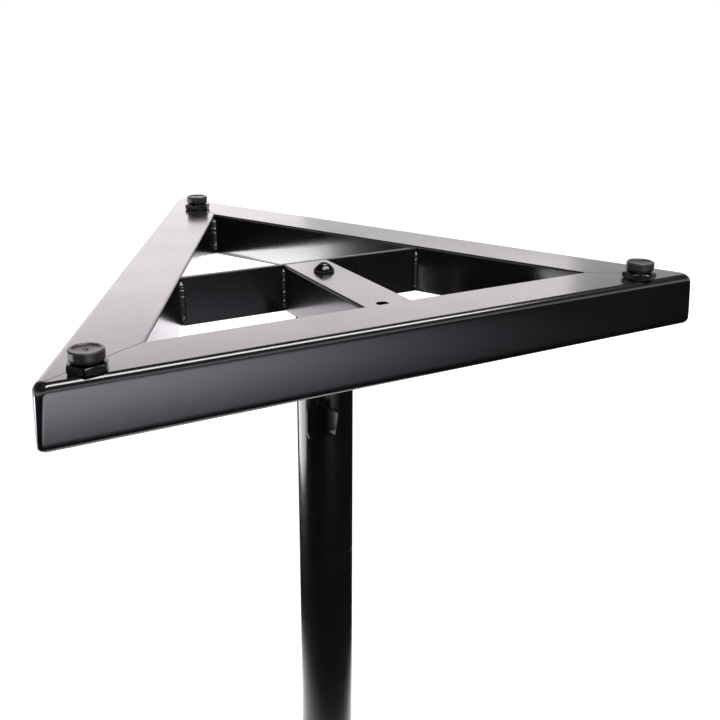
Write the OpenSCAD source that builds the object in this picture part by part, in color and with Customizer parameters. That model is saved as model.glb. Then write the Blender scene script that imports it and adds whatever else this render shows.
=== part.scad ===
// Speaker stand of welded steel: a triangular top frame of mitred tubes with three
// rubber-capped levelling pads, a two-piece round column, and a larger triangular base
// on three levelling feet. All sizes are millimetres. The origin is on the floor, at the
// middle of the base's footprint box, with +Z up and +Y from the long front tube to the
// back corner.

/* [Stand] */
// Height of the top frame's upper face above the floor
stand_h = 700; // [520:5:1000]
// How far the column's seam lies below the top frame's upper face
seam_drop = 216; // [180:1:300]

/* [Top frame] */
// Width of the top triangle along its front tube
top_w = 436; // [390:1:520]
// Depth of the top triangle, from its front face to its sharp back corner
top_d = 432; // [390:1:520]
// Distance from the top frame's front face back to the column's axis
top_axis = 128; // [115:1:150]

/* [Base frame] */
// Width of the base triangle along its front tube
base_w = 500; // [450:1:620]
// Depth of the base triangle, from its front face to its sharp back corner
base_d = 495; // [450:1:620]
// Distance from the base frame's front face back to the column's axis
base_axis = 147; // [130:1:180]

/* [Frame tubes] */
// Height of every frame tube
tube_h = 35; // [32:0.5:45]
// Width of the two front tubes
front_w = 39; // [36:0.5:45]
// Width of the four side tubes
side_w = 42.5; // [38:0.5:50]
// Wall of the frame tubes
tube_wall = 3; // [2:0.5:4]
// Rounding of the tubes' long outer edges
edge_r = 4; // [3:0.5:6]
// Rounding of the tubes' long inner edges
inner_edge_r = 1.5; // [0.5:0.5:2]
// Rounding of the ground upright edge at each outer corner
corner_r = 5; // [3:0.5:5.5]

/* [Cross bar and tongue] */
// Thickness of the flat cross bar
bar_t = 4; // [3:0.5:8]
// Distance from the column's axis back to the cross bar
bar_back = 28; // [26:1:40]
// How far the cross bar and the tongue lie below the frame's outer face
bar_drop = 1.5; // [0.5:0.5:4]
// Width of the box tongue that carries the column
tongue_w = 35; // [30:1:44]
// Wall of the tongue
tongue_wall = 3; // [2:0.5:4]
// Rounding of the tongue's long outer edges
tongue_r = 3; // [2:0.5:5]
// Bore of the vent hole near the tongue's front end
vent_d = 8; // [5:0.5:10]
// Steel left between the vent hole and the tongue's front end
vent_edge = 1.2; // [1:0.1:6]
// How far the vent hole lies to the left of the tongue's middle
vent_side = 3; // [0:0.5:6]

/* [Column] */
// Outer diameter of the column
col_d = 40; // [36:1:50]
// Wall of the column's two tubes
col_wall = 2.5; // [2:0.5:3.5]
// Height of the threaded plug in each end of the column
plug_h = 22; // [16:1:30]
// Length of the spigot that joins the neck to the column tube
spigot_len = 140; // [100:5:200]
// Wall of the spigot
spigot_wall = 3; // [2:0.5:5]

/* [Cable guide] */
// Height of the folded cable guide
guide_h = 23; // [18:1:35]
// How far the guide's upper edge lies below the top frame's upper face
guide_drop = 91; // [80:1:110]
// Length of the guide's left leg
guide_left = 14; // [11:0.5:18]
// Length of the guide's right leg at its upper edge
guide_right_top = 21; // [18:0.5:25]
// Length of the guide's right leg at its lower edge
guide_right_low = 17.5; // [15:0.5:22]
// Thickness of the guide's sheet
guide_t = 2; // [1.5:0.5:3]
// Turn of the guide from the front towards the left, in degrees
guide_turn = 34; // [0:1:90]
// Height of the flared lip along the guide's lower edge
guide_lip = 5; // [3:0.5:7]
// Flare of the lip, in degrees
guide_flare = 32; // [10:1:45]
// How deep the guide's corner is fitted into the round of the neck
guide_seat = 1.2; // [0.8:0.1:2]

/* [Levelling pads] */
// Diameter of the rubber caps
pad_d = 18; // [16:0.5:24]
// Height of the rubber caps
pad_h = 5.5; // [5:0.5:9]
// Distance from the left corner along the front to the left pad
left_pad_in = 31; // [28:1:60]
// Distance from the right corner along the front to the right pad
right_pad_in = 44; // [30:1:60]
// Distance from the front face to the two front pads
front_pad_in = 10.8; // [10.6:0.1:20]
// Distance from the sharp back corner to the back pad
back_pad_in = 63; // [56:1:70]
// How far the back pad lies to the left of the middle
back_pad_side = 4; // [0:0.5:6]
// Length of the stud below its rubber cap
pad_stud_len = 30; // [24:1:32]

/* [Levelling feet] */
// Diameter of the feet on the floor
foot_d = 28; // [24:1:36]
// Diameter of the feet at their upper rim
foot_top_d = 24; // [22:1:24]
// Height of the feet
foot_h = 9; // [8:0.5:14]
// Distance from each front corner along the front to its foot
foot_side_in = 46; // [40:1:70]
// Distance from the base's front face to the two front feet
foot_front_in = 16; // [14:0.5:20]
// Distance from the sharp back corner to the back foot
foot_back_in = 66; // [58:1:75]
// Length of the stud above its foot
foot_stud_len = 30; // [24:1:32]

/* [Threads and fasteners] */
// Thread diameter of the pads' and the feet's studs
stud_d = 12; // [10:0.5:12]
// Width across the flats of the lock nuts
nut_af = 19; // [18:0.5:20]
// Thickness of the lock nuts
nut_h = 5.5; // [4:0.5:8]
// Outer diameter of the threaded bushes in the frame tubes
bush_d = 15; // [14:0.5:16]
// Length of the threaded bushes
bush_h = 14; // [10:1:18]
// Thread diameter of the two column bolts
bolt_d = 8; // [6:0.5:10]
// Length of the column bolts below their heads
bolt_len = 55; // [50:1:60]
// Diameter of the bolts' domed heads
head_d = 14.3; // [12:0.1:17]
// Height of the bolts' domed heads
head_h = 7.2; // [5:0.1:9]
// Width across the flats of the hexagon sockets
socket_af = 5; // [4:0.5:6]
// Diameter of the clamping sleeves inside the tongues
sleeve_d = 16; // [14:0.5:20]

/* [Hidden] */
$fn = 64;

// Running clearance on the radius, between each stud and its thread
run_fit = 0.05;
// Clearance on the radius where one piece is pushed into another
push_fit = 0.05;
// Clearance on the radius of the bolts' through holes
bolt_fit = 0.25;
// Gap between a rubber cap or foot and its lock nut
seat_gap = 0.3;
// Overrun of the cuts past the faces that they open
over = 1;

// Shape of the bolt heads: height of the upright rim and width of the flat crown
head_rim = 1.6;
head_flat = 6;
socket_deep = 3.4;
point_chamfer = 1;
// Chamfer of the nuts' corners
nut_chamfer = 0.9;
// Rubber caps: depth of the blind bore, dished top, its rim and its centre dimple
cap_grip = 3;
cap_dish = 0.6;
cap_rim = 1.6;
cap_round = 0.6;
dimple_d = 2.6;
dimple_deep = 0.8;
// Feet: depth of the blind bore and height of the foot's upright sole
foot_grip = 5;
foot_sole = 3;

// Levels above the floor
base_low_z = foot_h + seat_gap + nut_h;
base_high_z = base_low_z + tube_h;
col_low_z = base_high_z - bar_drop;
col_high_z = stand_h - tube_h;
seam_z = stand_h - seam_drop;
guide_low_z = stand_h - guide_drop - guide_h;
cap_low_z = stand_h + nut_h + seat_gap;

// Angle of the triangle at its front corners, and places in plan that follow from it
function corner_angle(w, d) = atan(d / (w / 2));
// Distance that the rounding takes off the sharp back corner
function back_cut(w, d) = corner_r / cos(corner_angle(w, d)) - corner_r;
// Half width of the opening between the side tubes, at depth y
function inner_x(w, d, y) =
    w / 2 - (side_w + y * cos(corner_angle(w, d))) / sin(corner_angle(w, d));
function inner_back_y(w, d) = d - side_w / cos(corner_angle(w, d));

base_front_y = -(base_d - back_cut(base_w, base_d)) / 2;
col_y = base_front_y + base_axis;
top_front_y = col_y - top_axis;

// Places of the pads and the feet: left, right and back
PADS = [
    [-top_w / 2 + left_pad_in, top_front_y + front_pad_in],
    [top_w / 2 - right_pad_in, top_front_y + front_pad_in],
    [-back_pad_side, top_front_y + top_d - back_pad_in]
];
FEET = [
    [-base_w / 2 + foot_side_in, base_front_y + foot_front_in],
    [base_w / 2 - foot_side_in, base_front_y + foot_front_in],
    [0, base_front_y + base_d - foot_back_in]
];
// Turn of each lock nut as it was left after levelling, in degrees
PAD_NUT_TURNS = [12, 20, -4];
FOOT_NUT_TURNS = [0, 20, 40];

BLACK = [0.09, 0.09, 0.10];
DARK = [0.13, 0.13, 0.14];
RUBBER = [0.17, 0.17, 0.17];
ZINC = [0.62, 0.63, 0.65];

// Rectangle with round corners, from the origin to [w, h]
module round_rect(w, h, r) {
    translate([r, 0]) square([w - 2 * r, h]);
    translate([0, r]) square([w, h - 2 * r]);
    for (x = [r, w - r])
        for (y = [r, h - r])
            translate([x, y]) circle(r);
}

// Hollow box tube along +X, its width along +Y and its height along +Z
module box_tube(length, w, h, wall, outer_r, inner_r) {
    rotate([90, 0, 90])
        difference() {
            linear_extrude(length) round_rect(w, h, outer_r);
            translate([wall, wall, -over])
                linear_extrude(length + 2 * over)
                    round_rect(w - 2 * wall, h - 2 * wall, inner_r);
        }
}

// Upright prism over a triangle of width w and depth d with ground corners
module ground_triangle(w, d) {
    a = corner_angle(w, d);
    front_x = w / 2 - corner_r / tan(a / 2);
    back_y = d - corner_r / cos(a);
    side = [corner_r * sin(a), corner_r * cos(a)];
    linear_extrude(tube_h) {
        polygon([
            [-front_x, 0], [front_x, 0],
            [front_x + side[0], corner_r + side[1]], [side[0], back_y + side[1]],
            [-side[0], back_y + side[1]], [-front_x - side[0], corner_r + side[1]]
        ]);
        translate([-front_x, corner_r]) circle(corner_r);
        translate([front_x, corner_r]) circle(corner_r);
        translate([0, back_y]) circle(corner_r);
    }
}

// One mitred tube of a triangular frame whose front face is at y = 0 and whose
// underside is at z = 0. The member is "front", "left" or "right".
module frame_member(w, d, member) {
    a = corner_angle(w, d);
    side_len = norm([w / 2, d]);
    left_in = [-inner_x(w, d, front_w), front_w];
    right_in = [inner_x(w, d, front_w), front_w];
    back_in = [0, inner_back_y(w, d)];
    intersection() {
        if (member == "front")
            translate([-w / 2, 0, 0])
                box_tube(w, front_w, tube_h, tube_wall, edge_r, inner_edge_r);
        else if (member == "right")
            translate([w / 2, 0, 0]) rotate([0, 0, 180 - a])
                box_tube(side_len, side_w, tube_h, tube_wall, edge_r, inner_edge_r);
        else
            translate([0, d, 0]) rotate([0, 0, 180 + a])
                box_tube(side_len, side_w, tube_h, tube_wall, edge_r, inner_edge_r);
        linear_extrude(tube_h)
            if (member == "front") polygon([[-w / 2, 0], [w / 2, 0], right_in, left_in]);
            else if (member == "right") polygon([[w / 2, 0], [0, d], back_in, right_in]);
            else polygon([[0, d], [-w / 2, 0], left_in, back_in]);
        ground_triangle(w, d);
    }
}

// Flat cross bar, on edge between the side tubes, with its front face at depth y
module cross_bar(w, d, y) {
    near_x = inner_x(w, d, y);
    far_x = inner_x(w, d, y + bar_t);
    linear_extrude(tube_h - bar_drop)
        polygon([[-near_x, y], [near_x, y], [far_x, y + bar_t], [-far_x, y + bar_t]]);
}

// Box tongue from the front tube's inner face back to the cross bar at depth y,
// with the column bolt's hole at depth axis_y
module tongue(axis_y, y) {
    difference() {
        translate([tongue_w / 2, front_w, 0]) rotate([0, 0, 90])
            box_tube(y - front_w, tongue_w, tube_h - bar_drop,
                tongue_wall, tongue_r, inner_edge_r);
        translate([0, axis_y, -over])
            cylinder(h = tube_h + 2 * over, r = bolt_d / 2 + bolt_fit);
    }
}

// Vent hole through the outer wall of a tongue, centred on the origin's height
module vent_cut() {
    translate([-vent_side, front_w + vent_edge + vent_d / 2, -tongue_wall - over])
        cylinder(h = tongue_wall + 2 * over, d = vent_d);
}

// Sleeve that keeps the tongue from being crushed by the column bolt
module clamp_sleeve() {
    difference() {
        cylinder(h = tube_h - bar_drop - 2 * tongue_wall, d = sleeve_d);
        translate([0, 0, -over])
            cylinder(h = tube_h + 2 * over, r = bolt_d / 2 + bolt_fit);
    }
}

// Bolt pointing down from z = 0, with a domed head and a hexagon socket
module dome_bolt() {
    crown_h = head_h - head_rim;
    // Radius of the dome that runs from the rim to the flat crown
    dome_r = sqrt(pow((pow(head_d / 2, 2) - pow(head_flat / 2, 2) - pow(crown_h, 2))
        / (2 * crown_h), 2) + pow(head_d / 2, 2));
    dome_drop = sqrt(pow(dome_r, 2) - pow(head_d / 2, 2));
    difference() {
        union() {
            cylinder(h = head_rim, d = head_d);
            intersection() {
                cylinder(h = head_h, d = head_d);
                translate([0, 0, head_rim - dome_drop]) sphere(dome_r);
            }
            translate([0, 0, point_chamfer - bolt_len])
                cylinder(h = bolt_len - point_chamfer, d = bolt_d);
            translate([0, 0, -bolt_len])
                cylinder(h = point_chamfer, d1 = bolt_d - 2 * point_chamfer, d2 = bolt_d);
        }
        translate([0, 0, head_h - socket_deep])
            cylinder(h = socket_deep + over, d = socket_af / cos(30), $fn = 6);
    }
}

// Threaded bush with its mouth up, from z = -bush_h to z = 0
module bush() {
    difference() {
        translate([0, 0, -bush_h]) cylinder(h = bush_h, d = bush_d);
        translate([0, 0, -bush_h - over])
            cylinder(h = bush_h + 2 * over, r = stud_d / 2 + run_fit);
    }
}

// Hole for a bush through one wall of a frame tube, from below z = 0 to above it
module bush_cut() {
    translate([0, 0, -bush_h - over])
        cylinder(h = bush_h + 2 * over, r = bush_d / 2 + push_fit);
}

// Hexagonal lock nut on z = 0, with both faces chamfered
module lock_nut() {
    corner_d = nut_af / cos(30);
    difference() {
        intersection() {
            cylinder(h = nut_h, d = corner_d, $fn = 6);
            rotate_extrude()
                polygon([
                    [0, 0], [nut_af / 2, 0], [corner_d / 2, nut_chamfer],
                    [corner_d / 2, nut_h - nut_chamfer], [nut_af / 2, nut_h], [0, nut_h]
                ]);
        }
        translate([0, 0, -over])
            cylinder(h = nut_h + 2 * over, r = stud_d / 2 + run_fit);
    }
}

// Rubber cap on z = 0: a low drum with a dished top and a blind bore from below
module rubber_cap() {
    rim_r = pad_d / 2 - cap_round;
    dish_r = pad_d / 2 - cap_round - cap_rim;
    difference() {
        rotate_extrude()
            polygon([
                [0, 0], [pad_d / 2, 0], [pad_d / 2, pad_h - cap_round], [rim_r, pad_h],
                [dish_r, pad_h], [dish_r - cap_dish, pad_h - cap_dish],
                [dimple_d / 2, pad_h - cap_dish],
                [dimple_d / 2, pad_h - cap_dish - dimple_deep],
                [0, pad_h - cap_dish - dimple_deep]
            ]);
        translate([0, 0, -over])
            cylinder(h = cap_grip + over, r = stud_d / 2 + push_fit);
    }
}

// Levelling foot on the floor: a tapered drum with a blind bore from above
module foot_drum() {
    difference() {
        rotate_extrude()
            polygon([
                [0, 0], [foot_d / 2 - cap_round, 0], [foot_d / 2, cap_round],
                [foot_d / 2, foot_sole], [foot_top_d / 2, foot_h - cap_round],
                [foot_top_d / 2 - cap_round, foot_h], [0, foot_h]
            ]);
        translate([0, 0, foot_h - foot_grip])
            cylinder(h = foot_grip + over, r = stud_d / 2 + push_fit);
    }
}

// Threaded stud from z = 0 up, with a chamfered end on top
module stud(length) {
    cylinder(h = length - point_chamfer, d = stud_d);
    translate([0, 0, length - point_chamfer])
        cylinder(h = point_chamfer, d1 = stud_d, d2 = stud_d - 2 * point_chamfer);
}

// Turned plug that closes one end of the column and takes the bolt's thread
module plug() {
    difference() {
        cylinder(h = plug_h, r = col_d / 2 - col_wall - push_fit);
        translate([0, 0, -over])
            cylinder(h = plug_h + 2 * over, r = bolt_d / 2 + run_fit);
    }
}

module column_pipe(low, high) {
    translate([0, col_y, low])
        difference() {
            cylinder(h = high - low, d = col_d);
            translate([0, 0, -over])
                cylinder(h = high - low + 2 * over, r = col_d / 2 - col_wall);
        }
}

// One leg of the cable guide along +X, with its flared lip, open side towards +Y
module guide_leg(len_low, len_high) {
    rise = guide_h - guide_lip;
    translate([0, guide_t, guide_lip]) rotate([90, 0, 0])
        linear_extrude(guide_t)
            polygon([[0, 0], [len_low, 0], [len_high, rise], [0, rise]]);
    translate([0, 0, guide_lip]) rotate([guide_flare, 0, 0])
        translate([0, 0, -guide_lip]) cube([len_low, guide_t, guide_lip]);
}

// Placed modules, one for each node

module top_tube(member) {
    color(BLACK)
        difference() {
            translate([0, top_front_y, stand_h - tube_h])
                frame_member(top_w, top_d, member);
            for (p = PADS)
                translate([p[0], p[1], stand_h]) bush_cut();
        }
}

module base_tube(member) {
    color(BLACK)
        difference() {
            translate([0, base_front_y, base_low_z])
                frame_member(base_w, base_d, member);
            for (p = FEET)
                translate([p[0], p[1], base_low_z]) mirror([0, 0, 1]) bush_cut();
        }
}

module top_cross_bar() {
    color(BLACK)
        translate([0, top_front_y, stand_h - tube_h])
            cross_bar(top_w, top_d, top_axis + bar_back);
}

module base_cross_bar() {
    color(BLACK)
        translate([0, base_front_y, base_low_z])
            cross_bar(base_w, base_d, base_axis + bar_back);
}

module top_tongue() {
    color(BLACK)
        translate([0, top_front_y, stand_h - tube_h])
            difference() {
                tongue(top_axis, top_axis + bar_back);
                translate([0, 0, tube_h - bar_drop]) vent_cut();
            }
}

module base_tongue() {
    color(BLACK)
        translate([0, base_front_y, base_low_z])
            tongue(base_axis, base_axis + bar_back);
}

module top_clamp_sleeve() {
    color(ZINC)
        translate([0, col_y, stand_h - tube_h + tongue_wall]) clamp_sleeve();
}

module base_clamp_sleeve() {
    color(ZINC)
        translate([0, col_y, base_low_z + tongue_wall]) clamp_sleeve();
}

module top_column_bolt() {
    color(DARK)
        translate([0, col_y, stand_h - bar_drop]) dome_bolt();
}

module base_column_bolt() {
    color(DARK)
        translate([0, col_y, base_low_z]) mirror([0, 0, 1]) dome_bolt();
}

module pad_bushes() {
    color(ZINC)
        for (p = PADS)
            translate([p[0], p[1], stand_h]) bush();
}

module foot_bushes() {
    color(ZINC)
        for (p = FEET)
            translate([p[0], p[1], base_low_z]) mirror([0, 0, 1]) bush();
}

module pad_cap(i) {
    color(RUBBER)
        translate([PADS[i][0], PADS[i][1], cap_low_z]) rubber_cap();
}

module pad_stud(i) {
    color(ZINC)
        translate([PADS[i][0], PADS[i][1], cap_low_z + cap_grip])
            mirror([0, 0, 1]) stud(pad_stud_len + cap_grip);
}

module pad_nut(i) {
    color(DARK)
        translate([PADS[i][0], PADS[i][1], stand_h])
            rotate([0, 0, PAD_NUT_TURNS[i]]) lock_nut();
}

module foot(i) {
    color(RUBBER)
        translate([FEET[i][0], FEET[i][1], 0]) foot_drum();
}

module foot_stud(i) {
    color(ZINC)
        translate([FEET[i][0], FEET[i][1], foot_h - foot_grip])
            stud(foot_stud_len + foot_grip);
}

module foot_nut(i) {
    color(DARK)
        translate([FEET[i][0], FEET[i][1], base_low_z - nut_h])
            rotate([0, 0, FOOT_NUT_TURNS[i]]) lock_nut();
}

module neck_tube() {
    color(BLACK) column_pipe(seam_z, col_high_z);
}

module column_tube() {
    color(BLACK) column_pipe(col_low_z, seam_z);
}

module neck_plug() {
    color(ZINC)
        translate([0, col_y, col_high_z - plug_h]) plug();
}

module column_plug() {
    color(ZINC)
        translate([0, col_y, col_low_z]) plug();
}

module column_spigot() {
    spigot_r = col_d / 2 - col_wall - push_fit;
    color(ZINC)
        translate([0, col_y, seam_z - spigot_len / 2])
            difference() {
                cylinder(h = spigot_len, r = spigot_r);
                translate([0, 0, -over])
                    cylinder(h = spigot_len + 2 * over, r = spigot_r - spigot_wall);
            }
}

module cable_guide() {
    color(BLACK)
        translate([0, col_y, guide_low_z])
            difference() {
                rotate([0, 0, 180 - guide_turn])
                    translate([0, col_d / 2 - guide_seat, 0]) {
                        rotate([0, 0, 45]) guide_leg(guide_left, guide_left);
                        mirror([1, 0, 0]) rotate([0, 0, 45])
                            guide_leg(guide_right_low, guide_right_top);
                    }
                translate([0, 0, -over]) cylinder(h = guide_h + 2 * over, d = col_d);
            }
}

top_tube("front");  // top_front_tube
top_tube("left");  // top_left_tube
top_tube("right");  // top_right_tube
top_cross_bar();
top_tongue();
top_clamp_sleeve();
top_column_bolt();
pad_bushes();
pad_cap(0);  // left_pad_cap
pad_stud(0);  // left_pad_stud
pad_nut(0);  // left_pad_nut
pad_cap(1);  // right_pad_cap
pad_stud(1);  // right_pad_stud
pad_nut(1);  // right_pad_nut
pad_cap(2);  // back_pad_cap
pad_stud(2);  // back_pad_stud
pad_nut(2);  // back_pad_nut
neck_tube();
neck_plug();
cable_guide();
column_spigot();
column_tube();
column_plug();
base_tube("front");  // base_front_tube
base_tube("left");  // base_left_tube
base_tube("right");  // base_right_tube
base_cross_bar();
base_tongue();
base_clamp_sleeve();
base_column_bolt();
foot_bushes();
foot(0);  // left_foot
foot_stud(0);  // left_foot_stud
foot_nut(0);  // left_foot_nut
foot(1);  // right_foot
foot_stud(1);  // right_foot_stud
foot_nut(1);  // right_foot_nut
foot(2);  // back_foot
foot_stud(2);  // back_foot_stud
foot_nut(2);  // back_foot_nut
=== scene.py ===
"""Dresses a welded steel speaker stand: tubes, column, pads, feet, welds, threads and its studio."""
from functools import partial
from math import acos, atan, cos, pi, radians, sin, sqrt, tan

import bmesh
import bpy
from bpy.props import FloatProperty, FloatVectorProperty, PointerProperty
from mathutils import Matrix, Vector


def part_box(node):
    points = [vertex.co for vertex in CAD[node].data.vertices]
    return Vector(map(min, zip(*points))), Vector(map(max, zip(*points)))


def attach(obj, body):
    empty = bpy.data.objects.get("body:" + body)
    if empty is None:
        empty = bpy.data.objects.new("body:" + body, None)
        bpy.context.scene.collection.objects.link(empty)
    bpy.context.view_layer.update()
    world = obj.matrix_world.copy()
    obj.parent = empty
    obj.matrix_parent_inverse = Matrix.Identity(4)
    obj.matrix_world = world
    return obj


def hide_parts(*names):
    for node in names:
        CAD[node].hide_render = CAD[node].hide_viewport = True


bl_info = {
    "name": "Speaker stand",
    "version": (1, 0, 0),
    "blender": (4, 5, 0),
    "location": "View3D > Sidebar > Speaker stand",
    "description": "Builds the finish and the studio of a triangular welded speaker stand",
    "category": "Add Mesh",
}

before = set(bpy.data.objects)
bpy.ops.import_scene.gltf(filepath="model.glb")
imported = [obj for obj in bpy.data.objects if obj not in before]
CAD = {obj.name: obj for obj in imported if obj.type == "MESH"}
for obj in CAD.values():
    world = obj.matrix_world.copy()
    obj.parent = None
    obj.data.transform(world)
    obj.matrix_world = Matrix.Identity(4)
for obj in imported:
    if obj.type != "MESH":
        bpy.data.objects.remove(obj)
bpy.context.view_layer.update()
PARTS = ("top", "base")
SIDES = ("left", "right", "back")
MEMBERS = ("front", "left", "right")
WHITE = (1.0, 1.0, 1.0)
PINKISH = (1.0, 0.89, 0.945)

# Values that no user would change, with lengths in metres
FIT = 0.00005
STUD_BORE = 0.00605
TUBE_WALL = 0.003
COLUMN_WALL = 0.0025
CUTTER_OVERRUN = 0.002
CUTTER_SIDES = 48
TURNED_SIDES = 72
COLUMN_SIDES = 128
MERGE_DISTANCE = 1e-6
LEVEL_DIGITS = 7
SHARP_ANGLE = radians(38.0)

Length = partial(FloatProperty, unit="LENGTH")
Angle = partial(FloatProperty, subtype="ANGLE")
Share = partial(FloatProperty, subtype="FACTOR", min=0.0, max=1.0)
Colour = partial(FloatVectorProperty, subtype="COLOR", size=4, min=0.0, max=1.0)


class StandSizes(bpy.types.PropertyGroup):
    """Sizes of the stand's visible pieces that its packed boxes do not give"""

    top_width: Length(
        name="Top width", description="Width of the top triangle between its sharp front corners",
        default=0.436)
    top_depth: Length(
        name="Top depth", description="Depth of the top triangle to its sharp back corner",
        default=0.432)
    base_width: Length(
        name="Base width", description="Width of the base triangle between its sharp front corners",
        default=0.500)
    base_depth: Length(
        name="Base depth", description="Depth of the base triangle to its sharp back corner",
        default=0.495)
    front_tube: Length(
        name="Front tube width", description="Width of the two front tubes, seen from above",
        default=0.039)
    side_tube: Length(
        name="Side tube width", description="Width of the four side tubes, seen from above",
        default=0.0425)
    corner_round: Length(
        name="Corner rounding", description="Radius of the ground upright edges at the corners",
        default=0.005)
    edge_round: Length(
        name="Edge rounding", description="Radius of the tubes' long edges", default=0.004)
    corner_trim: Length(
        name="Corner trim", description="How much tighter the top's ground corners are at mid height",
        default=0.0012)
    corner_lean: Length(
        name="Corner lean", description="Extra grinding at the top of the top frame's corners",
        default=0.0015)
    corner_ease: Length(
        name="Corner ease", description="Extra grinding at both ends of the top frame's corners",
        default=0.0018)
    inner_round: Length(
        name="Inner edge rounding", description="Radius of the tubes' long edges round the opening",
        default=0.0015)
    bar_round: Length(
        name="Bar rounding", description="Radius of the cross bars' edges", default=0.0007)
    tongue_round: Length(
        name="Tongue rounding", description="Radius of the tongues' long edges", default=0.002)
    face_crown: Length(
        name="Face crown", description="How far the tubes' upright faces bulge, as rolled tube does",
        default=0.00002)
    mitre_gap: Length(
        name="Mitre groove", description="Half width of the groove left along each mitre",
        default=0.00045)
    cap_skirt: Length(
        name="Cap skirt", description="How far the rubber caps reach down over their nuts' chamfer",
        default=0.0009)
    nut_flats: Length(
        name="Nut flats", description="Width across the flats of the lock nuts", default=0.019)
    nut_trim: Length(
        name="Nut trim", description="How much the pads' nuts are faced off under the caps",
        default=0.0009)
    bolt_head: Length(
        name="Bolt head", description="Height of the column bolts' heads", default=0.0057)
    thread_pitch: Length(
        name="Thread pitch", description="Pitch of the levelling studs' thread", default=0.00175)
    weld_width: Length(
        name="Weld width", description="Width of the fillet welds between the frame's pieces",
        default=0.0052)


class StandColours(bpy.types.PropertyGroup):
    """Colours and gloss of the stand's finishes"""

    paint: Colour(
        name="Paint", description="Black coat on the frames", default=(0.0042, 0.0040, 0.0048, 1.0))
    paint_roughness: Share(
        name="Paint roughness", description="Roughness of the black coat", default=0.27)
    column_roughness: Share(
        name="Column roughness", description="Roughness of the column's satin coat", default=0.27)
    rubber: Colour(
        name="Rubber", description="Rubber of the pads' caps", default=(0.022, 0.021, 0.021, 1.0))
    foot_rubber: Colour(
        name="Foot rubber", description="Rubber of the levelling feet",
        default=(0.035, 0.035, 0.036, 1.0))
    black_steel: Colour(
        name="Blackened steel", description="Lock nuts and column bolts",
        default=(0.035, 0.034, 0.037, 1.0))
    zinc: Colour(
        name="Zinc", description="Plated studs, bushes and plugs", default=(0.56, 0.57, 0.60, 1.0))
    lint: Colour(
        name="Lint", description="Specks of dust and lint on the paint",
        default=(0.55, 0.54, 0.56, 1.0))


class StandStudio(bpy.types.PropertyGroup):
    """The camera and the lamps"""

    lens: FloatProperty(
        name="Lens", description="Focal length on a 36 mm sensor", default=45.789, unit="CAMERA")
    azimuth: Angle(
        name="View azimuth", description="Turn of the camera from the front towards the right",
        default=radians(-29.207))
    elevation: Angle(
        name="View elevation", description="How steeply the camera looks down",
        default=radians(20.378))
    roll: Angle(name="View roll", description="Roll of the camera", default=radians(0.392))
    distance: Length(
        name="View distance", description="From the camera to the point that it looks at",
        default=0.456536)
    aim_side: Length(
        name="Aim across", description="The aim point on the top plane, from the stand's middle",
        default=-0.064662)
    aim_back: Length(
        name="Aim back", description="The aim point on the top plane, from the top's front face",
        default=-0.038786)
    key_level: FloatProperty(
        name="Overhead light", description="Brightness of the strip above the front tube",
        default=12.0)
    rear_level: FloatProperty(
        name="Rear light", description="Brightness of the wide softbox behind the stand",
        default=1.45)
    low_level: FloatProperty(
        name="Low light", description="Brightness of the small softbox low behind the stand",
        default=3.6)
    glint_level: FloatProperty(
        name="Left glint", description="Brightness of the small lamp low on the left", default=13.0)
    # Strength of the flag's glowing patch, a painted reflection in the front face rather than a lamp
    front_glow_level: FloatProperty(
        name="Front light", description="Brightness of the lit patch in front, seen in the front face",
        default=3.6)
    flag_reach: Length(
        name="Flag reach", description="How far the dark flag reaches behind the stand", default=1.5)
    floor_tone: Share(
        name="Floor tone", description="Reflectance of the pale floor", default=0.80)


def sizes():
    return bpy.context.scene.stand_sizes


def colours():
    return bpy.context.scene.stand_colours


def studio():
    return bpy.context.scene.stand_studio


# Nodes

def feed(tree, value, socket):
    """Links an output to an input socket, or sets the input to a plain value."""
    if isinstance(value, bpy.types.NodeSocket):
        tree.links.new(value, socket)
    else:
        socket.default_value = value


def add_node(tree, kind, inputs=None, **settings):
    """A node with its settings made first, and then its inputs fed, by name or by number."""
    node = tree.nodes.new(kind)
    for name, value in settings.items():
        setattr(node, name, value)
    for name, value in (inputs or {}).items():
        feed(tree, value, node.inputs[name])
    return node


def outcome(tree, kind, inputs=None, **settings):
    """The first output of a new node."""
    return add_node(tree, kind, inputs, **settings).outputs[0]


def math_node(tree, operation, *values, clamp=False):
    """The result of a math node, fed by sockets or plain numbers."""
    inputs = dict(enumerate(values))
    return outcome(tree, "ShaderNodeMath", inputs, operation=operation, use_clamp=clamp)


def noise_node(tree, vector, scale, detail, roughness=0.5):
    """A noise texture's value."""
    inputs = {"Vector": vector, "Scale": scale, "Detail": detail, "Roughness": roughness}
    return outcome(tree, "ShaderNodeTexNoise", inputs)


def spread(tree, value, low, high, out_low=0.0, out_high=1.0):
    """Value mapped from low..high to out_low..out_high, with a smooth step."""
    inputs = {"Value": value, "From Min": low, "From Max": high, "To Min": out_low, "To Max": out_high}
    return outcome(tree, "ShaderNodeMapRange", inputs, interpolation_type="SMOOTHSTEP")


def mix_colour(tree, mask, first, second):
    """Colour mixed from first to second by a mask."""
    inputs = {"Factor": mask, "A": first, "B": second}
    return add_node(tree, "ShaderNodeMix", inputs, data_type="RGBA").outputs["Result"]


def vector_length(tree, vector):
    """The length of a vector, which on a level card is the way from its middle."""
    return add_node(tree, "ShaderNodeVectorMath", {0: vector}, operation="LENGTH").outputs["Value"]


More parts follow.
